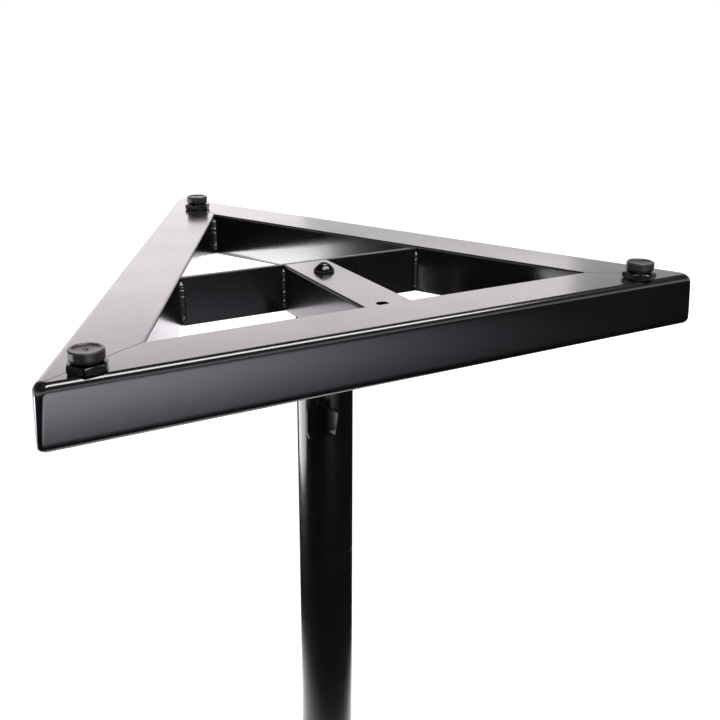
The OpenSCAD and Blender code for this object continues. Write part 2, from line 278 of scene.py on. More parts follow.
def new_group(name, numbers, results):
    """A shader node group that turns a vector and numbers into results.

    Returns the tree, the sockets that it is given and the sockets that it has to feed."""
    tree = bpy.data.node_groups.new(name, "ShaderNodeTree")
    tree.interface.new_socket(name="Vector", in_out="INPUT", socket_type="NodeSocketVector")
    for label, value in numbers.items():
        socket = tree.interface.new_socket(name=label, in_out="INPUT", socket_type="NodeSocketFloat")
        socket.default_value = value
    for label in results:
        tree.interface.new_socket(name=label, in_out="OUTPUT", socket_type="NodeSocketFloat")
    return tree, tree.nodes.new("NodeGroupInput").outputs, tree.nodes.new("NodeGroupOutput").inputs


def new_tree(name, numbers, vectors=()):
    """A geometry node tree with named inputs. Returns it with the sockets that it is given."""
    tree = bpy.data.node_groups.new(name, "GeometryNodeTree")
    kinds = {"Geometry": "Geometry", **dict.fromkeys(numbers, "Float"),
             **dict.fromkeys(vectors, "Vector"), "Material": "Material"}
    for label, kind in kinds.items():
        tree.interface.new_socket(name=label, in_out="INPUT", socket_type=f"NodeSocket{kind}")
    tree.interface.new_socket(name="Geometry", in_out="OUTPUT", socket_type="NodeSocketGeometry")
    return tree, tree.nodes.new("NodeGroupInput").outputs


def end_tree(tree, geometry, material):
    """Ends a tree in Realize Instances and Set Material."""
    real = outcome(tree, "GeometryNodeRealizeInstances", {"Geometry": geometry})
    painted = outcome(tree, "GeometryNodeSetMaterial", {"Geometry": real, "Material": material})
    add_node(tree, "NodeGroupOutput", {"Geometry": painted})


# Materials

def orange_peel_group():
    """Height of a sprayed coat: shallow dimples about a millimetre across, and finer grit."""
    tree, given, result = new_group("orange_peel", {"Dimples": 620.0, "Grit": 0.2}, ("Height", "Patches"))
    dimples = noise_node(tree, given["Vector"], given["Dimples"], 2.0)
    finer = math_node(tree, "MULTIPLY", given["Dimples"], 5.3)
    grit = noise_node(tree, given["Vector"], finer, 2.0)
    gritty = math_node(tree, "MULTIPLY", grit, given["Grit"])
    feed(tree, math_node(tree, "ADD", dimples, gritty), result["Height"])
    feed(tree, noise_node(tree, given["Vector"], 23.0, 4.0, 0.6), result["Patches"])
    return tree


def specks_group():
    """A mask of small ragged specks, one in each of the few cells that are chosen."""
    tree, given, result = new_group("lint_specks", {"Cells": 55.0, "Size": 0.035, "Amount": 0.12}, ("Mask",))
    cells = add_node(tree, "ShaderNodeTexVoronoi",
                     {"Vector": given["Vector"], "Scale": given["Cells"]}).outputs
    pick = add_node(tree, "ShaderNodeSeparateColor", {"Color": cells["Color"]}).outputs
    chosen = math_node(tree, "LESS_THAN", pick["Red"], given["Amount"])
    reach = math_node(tree, "MULTIPLY", pick["Green"], given["Size"])
    ragged = noise_node(tree, given["Vector"], 900.0, 2.0)
    reach = math_node(tree, "MULTIPLY", reach, math_node(tree, "MULTIPLY", ragged, 2.0))
    near = math_node(tree, "LESS_THAN", cells["Distance"], reach)
    feed(tree, math_node(tree, "MULTIPLY", chosen, near), result["Mask"])
    return tree


def blotches_group():
    """A soft blotchy mask with fine grain, for rubbed or dusty patches."""
    tree, given, result = new_group("soft_blotches", {"Scale": 60.0, "Low": 0.45, "High": 0.75}, ("Mask",))
    broad = noise_node(tree, given["Vector"], given["Scale"], 5.0, 0.62)
    feed(tree, spread(tree, broad, given["Low"], given["High"]), result["Mask"])
    return tree


def new_material(name, colour, roughness, metallic=0.0):
    """A new material's tree and Principled shader, and the Object coordinates for its patterns."""
    material = bpy.data.materials.new(name)
    material.use_nodes = True
    tree = material.node_tree
    shader = tree.nodes["Principled BSDF"]
    shader.inputs["Base Color"].default_value = colour
    shader.inputs["Roughness"].default_value = roughness
    shader.inputs["Metallic"].default_value = metallic
    return tree, shader, add_node(tree, "ShaderNodeTexCoord").outputs["Object"]


def add_group(tree, group, vector, **values):
    """The outputs of a node group placed in a material, with its own values."""
    return add_node(tree, "ShaderNodeGroup", {"Vector": vector, **values}, node_tree=group).outputs


def add_bump(tree, shader, height, distance, strength):
    """Feeds a height to the shader's normal, at a distance in metres."""
    bump = {"Height": height, "Distance": distance, "Strength": strength}
    feed(tree, outcome(tree, "ShaderNodeBump", bump), shader.inputs["Normal"])


def uneven_gloss(tree, patches, low, high):
    """A roughness that changes from low to high by patches."""
    return spread(tree, patches, 0.3, 0.7, low, high)


def shade(colour, factor):
    """A colour made lighter or darker by a factor."""
    return tuple(min(1.0, channel * factor) for channel in colour[:3]) + (1.0,)


def paint_material(name, roughness, groups, peel, specks, gloss=1.0):
    """The sprayed black coat, with orange peel, a few lint specks and uneven gloss."""
    tint = colours()
    haze_tint = (0.0068, 0.0064, 0.0076, 1.0)
    tree, shader, vector = new_material(name, tint.paint, roughness)
    coat = add_group(tree, groups["peel"], vector, Dimples=peel, Grit=0.16)
    lint = add_group(tree, groups["specks"], vector, Cells=48.0, Size=0.030, Amount=specks)["Mask"]
    haze = add_group(tree, groups["blotches"], vector, Scale=14.0, Low=0.40, High=0.78)["Mask"]
    hazy = mix_colour(tree, haze, tint.paint, haze_tint)
    feed(tree, mix_colour(tree, lint, hazy, tint.lint), shader.inputs["Base Color"])
    uneven = uneven_gloss(tree, coat["Patches"], roughness * 0.90, roughness * 1.12)
    rough = math_node(tree, "MULTIPLY_ADD", lint, 0.5, uneven, clamp=True)
    feed(tree, rough, shader.inputs["Roughness"])
    shader.inputs["Coat Weight"].default_value = gloss
    shader.inputs["Coat Roughness"].default_value = 0.15
    shader.inputs["Coat IOR"].default_value = 1.7
    shader.inputs["Specular IOR Level"].default_value = 0.15
    add_bump(tree, shader, coat["Height"], 0.00002, 0.30)


def steel_material(name, colour, roughness, groups, wear):
    """Blackened or plated steel, with fine turning grain and uneven gloss."""
    tree, shader, vector = new_material(name, colour, roughness, 1.0)
    coat = add_group(tree, groups["peel"], vector, Dimples=1400.0, Grit=0.5)
    stain = add_group(tree, groups["blotches"], vector, Scale=190.0, Low=0.42, High=0.70)["Mask"]
    feed(tree, mix_colour(tree, stain, colour, shade(colour, wear)), shader.inputs["Base Color"])
    uneven = uneven_gloss(tree, coat["Patches"], roughness * 0.8, roughness * 1.25)
    feed(tree, uneven, shader.inputs["Roughness"])
    add_bump(tree, shader, coat["Height"], 0.00002, 0.4)


def rubber_material(name, colour, groups):
    """Moulded rubber: smooth, finely pebbled, with dust in its blotches."""
    tree, shader, vector = new_material(name, colour, 0.3)
    skin = add_group(tree, groups["peel"], vector, Dimples=2300.0, Grit=0.4)
    dust = add_group(tree, groups["blotches"], vector, Scale=240.0, Low=0.46, High=0.82)["Mask"]
    feed(tree, mix_colour(tree, dust, colour, shade(colour, 1.9)), shader.inputs["Base Color"])
    feed(tree, uneven_gloss(tree, skin["Patches"], 0.24, 0.36), shader.inputs["Roughness"])
    add_bump(tree, shader, skin["Height"], 0.00004, 0.5)


def make_materials():
    """All materials of the stand, made once and found again by name."""
    tint = colours()
    groups = {"peel": orange_peel_group(), "specks": specks_group(), "blotches": blotches_group()}
    paint_material("frame_paint", tint.paint_roughness, groups, peel=620.0, specks=0.16)
    paint_material("column_paint", tint.column_roughness, groups, peel=900.0, specks=0.10)
    paint_material("weld_paint", 0.27, groups, peel=1500.0, specks=0.0)
    paint_material("guide_paint", 0.42, groups, peel=1500.0, specks=0.35, gloss=0.2)
    paint_material("bar_paint", tint.paint_roughness, groups, peel=620.0, specks=0.16, gloss=0.18)
    steel_material("dark_steel", tuple(tint.black_steel), 0.19, groups, wear=1.9)
    steel_material("bright_zinc", tuple(tint.zinc), 0.30, groups, wear=0.86)
    rubber_material("soft_cap_rubber", tuple(tint.rubber), groups)
    rubber_material("firm_foot_rubber", tuple(tint.foot_rubber), groups)


# Objects and meshes

def add_object(name, data):
    """A new object of the scene that holds the data."""
    holder = bpy.data.objects.new(name, data)
    bpy.context.scene.collection.objects.link(holder)
    return holder


def set_material(piece, name):
    piece.data.materials.clear()
    piece.data.materials.append(bpy.data.materials[name])


def add_piece(name, mesh, body, material, *replaced):
    """A finished piece: its material, the body that it moves with and the nodes that it stands for."""
    piece = add_object(name, mesh)
    set_material(piece, material)
    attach(piece, body)
    if replaced:
        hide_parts(*replaced)


def sketched_mesh(name, sketch):
    """The mesh of a sketch, which is then freed."""
    mesh = bpy.data.meshes.new(name)
    sketch.to_mesh(mesh)
    sketch.free()
    return mesh


def evaluated_mesh(name, holder, *spares):
    """The plain mesh that an object's modifiers make. The object and the spares are then removed."""
    graph = bpy.context.evaluated_depsgraph_get()
    mesh = bpy.data.meshes.new_from_object(holder.evaluated_get(graph), depsgraph=graph)
    mesh.name = name
    for spare in (holder, *spares):
        bpy.data.objects.remove(spare)
    return mesh


def finished_mesh(name, draft):
    """The draft mesh with even shading: flats stay flat and roundings turn smoothly."""
    holder = add_object("shading", draft)
    draft.shade_smooth()
    draft.set_sharp_from_angle(angle=SHARP_ANGLE)
    weighted = holder.modifiers.new("weighted", "WEIGHTED_NORMAL")
    weighted.keep_sharp = True
    weighted.weight = 100
    return evaluated_mesh(name, holder)


def grown_mesh(name, tree, values, draft=None):
    """The plain mesh that a tree makes from a draft mesh, with its inputs set by their identifiers."""
    holder = add_object(name, draft or bpy.data.meshes.new(name))
    modifier = holder.modifiers.new(name, "NODES")
    modifier.node_group = tree
    for item in tree.interface.items_tree:
        if item.in_out == "INPUT" and item.name in values:
            modifier[item.identifier] = values[item.name]
    return evaluated_mesh(name, holder)


def drilled_mesh(name, draft, holes, sides=CUTTER_SIDES):
    """The draft mesh with upright holes, given as (x, y, radius, low, high), round or of a few sides."""
    holder = add_object("drilled", draft)
    cutters = []
    for x, y, radius, low, high in holes:
        sketch = bmesh.new()
        middle = Matrix.Translation((x, y, (low + high) / 2))
        bmesh.ops.create_cone(sketch, cap_ends=True, segments=sides, radius1=radius, radius2=radius,
                              depth=high - low, matrix=middle)
        cutter = add_object("cutter", sketched_mesh("cutter", sketch))
        cut = holder.modifiers.new("cut", "BOOLEAN")
        cut.solver = "EXACT"
        cut.operation = "DIFFERENCE"
        cut.object = cutter
        cutters.append(cutter)
    return evaluated_mesh(name, holder, *cutters)


def round_box(node):
    """The axis of an upright round node, its radius, and its lowest and highest levels."""
    low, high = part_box(node)
    middle = (low + high) / 2
    return middle.x, middle.y, (high.x - low.x) / 2, low.z, high.z


# Frames

def edge_offset(level, height, radius, crown):
    """How far a rounded, slightly bulging side stands in from its widest, at a level."""
    bulge = crown * (2 * level / height - 1) ** 2
    depth = radius - min(level, height - level)
    if depth <= 0:
        return bulge
    return bulge + radius - sqrt(max(radius * radius - depth * depth, 0.0))


def tube_rows(width, height, outer_radius, inner_radius, crown, steps=7, spans=6):
    """Levels of a rounded bar's section, as (level, outer side, inner side) from bottom to top."""
    levels = {round(height * span / spans, LEVEL_DIGITS) for span in range(1, spans)}
    for radius in (outer_radius, inner_radius):
        for step in range(steps + 1):
            level = radius - radius * cos(pi / 2 * step / steps)
            levels |= {round(level, LEVEL_DIGITS), round(height - level, LEVEL_DIGITS)}
    return [(level, edge_offset(level, height, outer_radius, crown),
             width - edge_offset(level, height, inner_radius, crown)) for level in sorted(levels)]


def ground_radius(plan, hand):
    """Radius of a ground corner by level. hand is 1 where the grinding leans and eases as by hand."""
    size = sizes()

    def radius(level):
        place = 2 * (level - plan.low) / plan.height - 1
        uneven = size.corner_lean * place + size.corner_ease * place ** 8
        return size.corner_round + hand * (uneven - size.corner_trim)

    return radius


def mitred_end(inner, angle, radius_at, steps=6):
    """End of a mitred member, as a function from a row's level and sides to its points (along, across).

    inner is the inner corner seen from the sharp outer corner, and the ground rounding's radius
    depends on the level. The rounding shrinks where the long edges are rounded too."""
    along, across = inner
    gap = sizes().mitre_gap
    least_turned = 0.0003

    def points(level, outer_side, inner_side):
        radius = radius_at(level)
        tangent = radius / tan(angle / 2)
        half = tangent * along + radius * across
        square = along * along + across * across
        turned = max(radius - outer_side, least_turned)
        rest = tangent * tangent + radius * radius - turned * turned
        reach = (half - sqrt(max(half * half - square * rest, 0.0))) / square
        last_turn = acos(max(-1.0, min(1.0, (radius - reach * across) / turned)))
        ends = []
        for step in range(steps + 1):
            turn = last_turn * step / steps
            ends.append((tangent - turned * sin(turn) + gap, radius - turned * cos(turn)))
        return [*ends, (inner_side * along / across + gap, inner_side)]

    return points


def plain_end(slope):
    """A flat end whose place moves by slope for each length across."""
    return lambda level, outer_side, inner_side: [
        (slope * outer_side, outer_side), (slope * inner_side, inner_side)]


def bar_mesh(name, start, direction, inward, length, low, rows, first_end, last_end):
    """A bar of rounded section between two shaped ends, as a closed mesh."""
    sketch = bmesh.new()

    def place(along, across, level):
        spot = start + direction * along + inward * across
        return sketch.verts.new((spot.x, spot.y, level))

    near, far = [], []
    for level, *row_sides in rows:
        level += low
        near.append([place(x, s, level) for x, s in first_end(level, *row_sides)])
        far.append([place(length - x, s, level) for x, s in last_end(level, *row_sides)])
    for row in range(len(rows) - 1):
        sketch.faces.new((near[row][0], far[row][0], far[row + 1][0], near[row + 1][0]))
        sketch.faces.new((near[row][-1], near[row + 1][-1], far[row + 1][-1], far[row][-1]))
        for side in (near, far):
            for step in range(len(side[row]) - 1):
                sketch.faces.new((side[row][step], side[row + 1][step],
                                  side[row + 1][step + 1], side[row][step + 1]))
    for row in (0, -1):
        sketch.faces.new(near[row] + far[row][::-1])
    bmesh.ops.remove_doubles(sketch, verts=sketch.verts, dist=MERGE_DISTANCE)
    bmesh.ops.dissolve_degenerate(sketch, dist=MERGE_DISTANCE, edges=sketch.edges)
    bmesh.ops.recalc_face_normals(sketch, faces=sketch.faces)
    return sketched_mesh(name, sketch)


class Triangle:
    """Plan of the top or the base frame, placed by its packed front tube."""

    def __init__(self, part):
        size = sizes()
        low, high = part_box(f"{part}_front_tube")
        self.front = low.y
        self.low = low.z
        self.height = high.z - low.z
        self.width = getattr(size, f"{part}_width")
        depth = getattr(size, f"{part}_depth")
        self.angle = atan(depth / (self.width / 2))
        self.outer = {
            "left": Vector((-self.width / 2, self.front)),
            "right": Vector((self.width / 2, self.front)),
            "back": Vector((0, self.front + depth)),
        }
        half = self.half_gap(size.front_tube)
        self.inner = {
            "left": Vector((-half, self.front + size.front_tube)),
            "right": Vector((half, self.front + size.front_tube)),
            "back": Vector((0, self.front + depth - size.side_tube / cos(self.angle))),
        }

    def half_gap(self, depth):
        """Half the opening between the side tubes, at a depth behind the front face."""
        return self.width / 2 - (sizes().side_tube + depth * cos(self.angle)) / sin(self.angle)

    def member(self, which):
        """The two corners that a member joins, with their angles, and its width."""
        front_angle = self.angle
        back_angle = pi - 2 * self.angle
        return {
            "front": (("left", front_angle), ("right", front_angle), sizes().front_tube),
            "right": (("right", front_angle), ("back", back_angle), sizes().side_tube),
            "left": (("back", back_angle), ("left", front_angle), sizes().side_tube),
        }[which]


def bush_holes(part):
    """The levelling studs' holes in a frame, just round their bushes."""
    kind = "pad" if part == "top" else "foot"
    # The leftmost bush is the left stud's
    radius = round_box(f"left_{kind}_stud")[0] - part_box(f"{kind}_bushes")[0].x + FIT
    low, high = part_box(f"{part}_front_tube")
    if part == "top":
        span = (low.z + TUBE_WALL, high.z + CUTTER_OVERRUN)
    else:
        span = (low.z - CUTTER_OVERRUN, high.z - TUBE_WALL)
    return [(*round_box(f"{side}_{kind}_stud")[:2], radius, *span) for side in SIDES]


class STAND_OT_frame_tubes(bpy.types.Operator):
    """Make the mitred tubes of the top and base frames"""

    bl_idname = "stand.frame_tubes"
    bl_label = "Frame tubes"

    def execute(self, context):
        for part in PARTS:
            for which in MEMBERS:
                self.make_tube(part, which)
        return {"FINISHED"}

    def make_tube(self, part, which):
        size = sizes()
        plan = Triangle(part)
        first, last, width = plan.member(which)
        start = plan.outer[first[0]]
        run = plan.outer[last[0]] - start
        direction = run.normalized()
        inward = Vector((-direction.y, direction.x))
        radius_at = ground_radius(plan, 1.0 if part == "top" else 0.0)
        ends = []
        for (corner, angle), heading in ((first, 1), (last, -1)):
            offset = plan.inner[corner] - plan.outer[corner]
            seen = (heading * offset.dot(direction), offset.dot(inward))
            ends.append(mitred_end(seen, angle, radius_at))
        rows = tube_rows(width, plan.height, size.edge_round, size.inner_round, size.face_crown)
        node = f"{part}_{which}_tube"
        name = f"{node}_skin"
        draft = bar_mesh(name, start, direction, inward, run.length, plan.low, rows, *ends)
        drilled = drilled_mesh(name, draft, bush_holes(part))
        add_piece(name, finished_mesh(name, drilled), "stand", "frame_paint", node)


class STAND_OT_tongues(bpy.types.Operator):
    """Make the tongues and cross bars that carry the column"""

    bl_idname = "stand.tongues"
    bl_label = "Tongues and cross bars"

    def execute(self, context):
        for part in PARTS:
            self.make_bar(part)
            self.make_tongue(part)
        return {"FINISHED"}

    def make_bar(self, part):
        node = f"{part}_cross_bar"
        name = f"{node}_skin"
        plan = Triangle(part)
        low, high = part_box(node)
        depth = high.y - low.y
        near, far = (plan.half_gap(y - plan.front) for y in (low.y, high.y))
        rounding = sizes().bar_round
        rows = tube_rows(depth, high.z - low.z, rounding, rounding, 0.0, steps=4, spans=2)
        taper = plain_end((near - far) / depth)
        draft = bar_mesh(name, Vector((-near, low.y)), Vector((1, 0)), Vector((0, 1)), 2 * near,
                         low.z, rows, taper, taper)
        add_piece(name, finished_mesh(name, draft), "stand", "bar_paint", node)

    def make_tongue(self, part):
        bolt_hole_radius = 0.00425
        crown = 0.0001
        node = f"{part}_tongue"
        name = f"{node}_skin"
        low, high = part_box(node)
        rounding = sizes().tongue_round
        rows = tube_rows(high.x - low.x, high.z - low.z, rounding, rounding, crown)
        square = plain_end(0.0)
        draft = bar_mesh(name, Vector((high.x, low.y)), Vector((0, 1)), Vector((-1, 0)),
                         high.y - low.y, low.z, rows, square, square)
        through = (low.z - CUTTER_OVERRUN, high.z + CUTTER_OVERRUN)
        holes = [(*round_box(f"{part}_column_bolt")[:2], bolt_hole_radius, *through)]
        if part == "top":
            holes.append(self.vent_hole(low, high))
        drilled = drilled_mesh(name, draft, holes)
        add_piece(name, finished_mesh(name, drilled), "stand", "frame_paint", node)

    def vent_hole(self, low, high):
        """The blind vent hole near the top tongue's front end, left of its middle."""
        side, setback, radius, depth = -0.003, 0.0052, 0.004, 0.014
        return side, low.y + setback, radius, high.z - depth, high.z + CUTTER_OVERRUN


# Turned pieces and nuts

def level_ring(x, y, level, reach_at, count=TURNED_SIDES, turned=0.0):
    """A level ring of points about an upright axis, at a reach that may depend on the angle."""
    angles = [2 * pi * turn / count for turn in range(count)]
    return [(x + reach_at(angle) * cos(angle + turned), y + reach_at(angle) * sin(angle + turned), level)
            for angle in angles]


def ring_mesh(name, rings):
    """A closed draft mesh through rings of points. A ring of one point closes an end, and open ends join."""
    sketch = bmesh.new()
    made = [[sketch.verts.new(point) for point in ring] for ring in rings]
    pairs = list(zip(made, made[1:]))
    if len(made[0]) > 1 and len(made[-1]) > 1:
        pairs.append((made[-1], made[0]))
    for below, above in pairs:
        count = max(len(below), len(above))
        for turn in range(count):
            after = (turn + 1) % count
            if len(below) == 1:
                sketch.faces.new((below[0], above[after], above[turn]))
            elif len(above) == 1:
                sketch.faces.new((below[turn], below[after], above[0]))
            else:
                sketch.faces.new((below[turn], below[after], above[after], above[turn]))
    bmesh.ops.recalc_face_normals(sketch, faces=sketch.faces)
    return sketched_mesh(name, sketch)


def turned_draft(name, profile, x, y, sides=TURNED_SIDES):
    """A draft of revolution about an upright axis, from (radius, level) pairs."""
    return ring_mesh(name, [level_ring(x, y, level, lambda angle: radius, sides if radius > 0 else 1)
                            for radius, level in profile])


def quarter_round(radius_at, level_at, width, height, start_turn, steps=5):
    """A quarter of an ellipse for a profile, centred at the given radius and level."""
    turns = [start_turn + pi / 2 * step / steps for step in range(steps + 1)]
    return [(radius_at + width * cos(turn), level_at + height * sin(turn)) for turn in turns]


def nut_draft(name, x, y, low, height, flats, bore, turned):
    """A hexagon nut, chamfered on both faces so that its flats end in arcs."""
    chamfer = height * 0.2
    lip = 0.0005
    depths = [chamfer * step / 4 for step in range(5)]
    depths += [height - depth for depth in reversed(depths)]
    rings = []
    for depth in depths:
        inward = chamfer - min(depth, height - depth, chamfer)
        cone = flats / sqrt(3) - inward * sqrt(3)
        rings.append(level_ring(
            x, y, low + depth, lambda angle: min(flats / 2 / cos(angle % (pi / 3) - pi / 6), cone),
            turned=turned))
    for radius, depth in ((bore + lip, height), (bore, height - lip), (bore, lip), (bore + lip, 0.0)):
        rings.append(level_ring(x, y, low + depth, lambda angle: radius, turned=turned))
    return ring_mesh(name, rings)


class STAND_OT_column(bpy.types.Operator):
    """Make the neck and the column tube, with the small chamfers that meet at their seam"""

    bl_idname = "stand.column"
    bl_label = "Column"

    def execute(self, context):
        for node in ("neck_tube", "column_tube"):
            self.make_tube(node)
        return {"FINISHED"}

    def make_tube(self, node):
        chamfer = 0.00045
        x, y, radius, bottom, top = round_box(node)
        bore = radius - COLUMN_WALL
        if node == "neck_tube":
            outside = [(radius - chamfer, bottom), (radius, bottom + chamfer), (radius, top)]
        else:
            outside = [(radius, bottom), (radius, top - chamfer), (radius - chamfer, top)]
        name = f"{node}_skin"
        draft = turned_draft(name, [(bore, bottom), *outside, (bore, top)], x, y, COLUMN_SIDES)
        add_piece(name, finished_mesh(name, draft), "stand", "column_paint", node)


class STAND_OT_rubber(bpy.types.Operator):
    """Make the rubber caps of the pads and the levelling feet"""

    bl_idname = "stand.rubber"
    bl_label = "Rubber caps and feet"

    def execute(self, context):
        for side in SIDES:
            self.make_cap(side)
            self.make_foot(side)
        return {"FINISHED"}

    def make_cap(self, side):
        """A cap with a drawn-in skirt, a raised rim and a dimple in its dished top."""
        name = f"{side}_rubber_cap"
        x, y, radius, bottom, top = round_box(f"{side}_pad_cap")
        bore_top = bottom + 0.003
        bottom -= sizes().cap_skirt
        skirt_inset, skirt_height = 0.0019, 0.0024
        rounding = 0.0009
        dish = ((0.0019, 0.0001), (0.0024, 0.0006), (0.0034, 0.00075))
        dimple = ((0.0018, 0.00085), (0.0013, 0.0010), (0.0010, 0.0014), (0, 0.0015))
        profile = [(0, bore_top), (STUD_BORE, bore_top), (STUD_BORE, bottom)]
        profile += quarter_round(radius - skirt_inset, bottom + skirt_height, skirt_inset,
                                 skirt_height, -pi / 2, 6)
        profile += quarter_round(radius - rounding, top - rounding, rounding, rounding, 0.0)
        profile += [(radius - inset, top - depth) for inset, depth in dish]
        profile += [(reach, top - depth) for reach, depth in dimple]
        draft = turned_draft(name, profile, x, y)
        add_piece(name, finished_mesh(name, draft), f"{side}_pad", "soft_cap_rubber",
                  f"{side}_pad_cap")

    def make_foot(self, side):
        """A foot with a shallow groove in its sole and a waist above its rim."""
        name = f"{side}_rubber_foot"
        x, y, radius, bottom, top = round_box(f"{side}_foot")
        groove = ((0.0030, 0.0), (0.0026, 0.0004), (0.0014, 0.0004), (0.0010, 0.0))
        rim_top, rim_chamfer, bore_depth = bottom + 0.003, (0.0003, 0.0004), 0.005
        waist = radius - 0.002
        sole_round, top_round = 0.0006, 0.0008
        profile = [(0, bottom), *((radius - inset, bottom + depth) for inset, depth in groove),
                   (radius - sole_round, bottom)]
        profile += quarter_round(radius - sole_round, bottom + sole_round, sole_round, sole_round,
                                 -pi / 2)
        profile += [(radius, rim_top - rim_chamfer[1]), (radius - rim_chamfer[0], rim_top)]
        profile += quarter_round(waist - top_round, top - top_round, top_round, top_round, 0.0)
        profile += [(STUD_BORE, top), (STUD_BORE, top - bore_depth), (0, top - bore_depth)]
        draft = turned_draft(name, profile, x, y)
        add_piece(name, finished_mesh(name, draft), f"{side}_levelling_foot", "firm_foot_rubber",
                  f"{side}_foot")


class STAND_OT_nuts(bpy.types.Operator):
    """Make the lock nuts under the pads and over the feet"""

    bl_idname = "stand.nuts"
    bl_label = "Lock nuts"

    def execute(self, context):
        size = sizes()
        for kind, turns, trim in (("pad", (12, 20, -4), size.nut_trim), ("foot", (0, 20, 40), 0.0)):
            for side, degrees in zip(SIDES, turns):
                node = f"{side}_{kind}_nut"
                name = f"{side}_{kind}_lock_nut"
                x, y, thread_radius = round_box(f"{side}_{kind}_stud")[:3]
                bottom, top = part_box(node)
                draft = nut_draft(name, x, y, bottom.z, top.z - bottom.z - trim, size.nut_flats,
                                  thread_radius + FIT, radians(degrees))
                add_piece(name, finished_mesh(name, draft), f"{side}_{kind}_lock", "dark_steel", node)
        return {"FINISHED"}


class STAND_OT_column_bolts(bpy.types.Operator):
    """Make the domed socket-head bolts that hold the column"""

    bl_idname = "stand.column_bolts"
    bl_label = "Column bolts"

    def execute(self, context):
        for part, facing in (("top", 1), ("base", -1)):
            self.make_bolt(part, facing)
        return {"FINISHED"}

    def make_bolt(self, part, facing):
        """A bolt whose head rests on its tongue, above it or below it by the way that it faces."""
        shank, tip_chamfer = 0.004, 0.0008
        socket_radius, socket_depth, crown_radius, crown_drop = 0.00289, 0.0030, 0.0030, 0.0001
        dome = ((0.0002, 0.0), (0.0, 0.0003), (0.0, 0.0012), (0.0003, 0.0018), (0.0009, 0.0027),
                (0.0017, 0.0036), (0.0025, 0.0043), (0.0033, 0.0049), (0.0039, 0.0053))
        node = f"{part}_column_bolt"
        name = f"{part}_domed_bolt"
        x, y, radius, bottom, top = round_box(node)
        tip = bottom if facing > 0 else top
        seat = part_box(f"{part}_tongue")[facing > 0].z
        crest = seat + facing * sizes().bolt_head
        profile = [(0, tip), (shank - tip_chamfer, tip), (shank, tip + facing * tip_chamfer), (shank, seat)]
        profile += [(radius - inset, seat + facing * height) for inset, height in dome]
        profile += [(crown_radius, crest - facing * crown_drop), (0, crest)]
        draft = turned_draft(name, profile, x, y)
        socket = sorted((crest - facing * socket_depth, crest + facing * CUTTER_OVERRUN))
        drilled = drilled_mesh(name, draft, [(x, y, socket_radius, *socket)], sides=6)
        add_piece(name, finished_mesh(name, drilled), "stand", "dark_steel", node)


class STAND_OT_inner_pieces(bpy.types.Operator):
    """Plate the bushes, sleeves and plugs, and paint the cable guide"""

    bl_idname = "stand.inner_pieces"
    bl_label = "Inner pieces and cable guide"

    def execute(self, context):
        for node in ("top_clamp_sleeve", "base_clamp_sleeve", "pad_bushes", "foot_bushes",
                     "neck_plug", "column_plug", "column_spigot"):
            set_material(CAD[node], "bright_zinc")
        set_material(CAD["cable_guide"], "guide_paint")
        return {"FINISHED"}


# Welds and threads

def weld_tree():
    """Fillet welds: a rippled bead with rounded ends along each edge of the draft mesh."""
    tree, given = new_tree("weld_bead", ("Radius", "Ripple", "Ripple Pitch", "Unevenness", "Seed"))
    calc = partial(math_node, tree)
    steps_per_ripple, lump_scale, narrowest = 7.0, 420.0, 0.15
    step = calc("DIVIDE", given["Ripple Pitch"], steps_per_ripple)
    edges = outcome(tree, "GeometryNodeMeshToCurve", {"Mesh": given["Geometry"]})
    path = outcome(tree, "GeometryNodeResampleCurve", {"Curve": edges, "Length": step}, mode="LENGTH")
    along = add_node(tree, "GeometryNodeSplineParameter").outputs["Length"]
    whole = outcome(tree, "GeometryNodeSplineLength")
    spot = outcome(tree, "GeometryNodeInputPosition")
    wobble = outcome(tree, "ShaderNodeTexNoise", {"Vector": spot, "W": given["Seed"], "Scale": lump_scale},
                     noise_dimensions="4D")
    waves = calc("DIVIDE", along, given["Ripple Pitch"])
    crest = calc("ABSOLUTE", calc("SINE", calc("MULTIPLY", waves, pi)))
    ripple = calc("MULTIPLY", calc("SUBTRACT", crest, 1.0), given["Ripple"])
    lumps = calc("MULTIPLY", calc("SUBTRACT", wobble, 0.5), given["Unevenness"])
    swell = calc("ADD", calc("ADD", ripple, lumps), 1.0)
    end = calc("MINIMUM", along, calc("SUBTRACT", whole, along))
    rounded = calc("SQRT", calc("DIVIDE", end, given["Radius"]), clamp=True)
    rounded = calc("MAXIMUM", rounded, narrowest)
    width = calc("MULTIPLY", calc("MULTIPLY", swell, rounded), given["Radius"])
    ring = outcome(tree, "GeometryNodeCurvePrimitiveCircle", {"Resolution": 12})
    bead = outcome(tree, "GeometryNodeCurveToMesh",
                   {"Curve": path, "Profile Curve": ring, "Scale": width, "Fill Caps": True})
    end_tree(tree, outcome(tree, "GeometryNodeSetShadeSmooth", {"Geometry": bead}), given["Material"])
    return tree


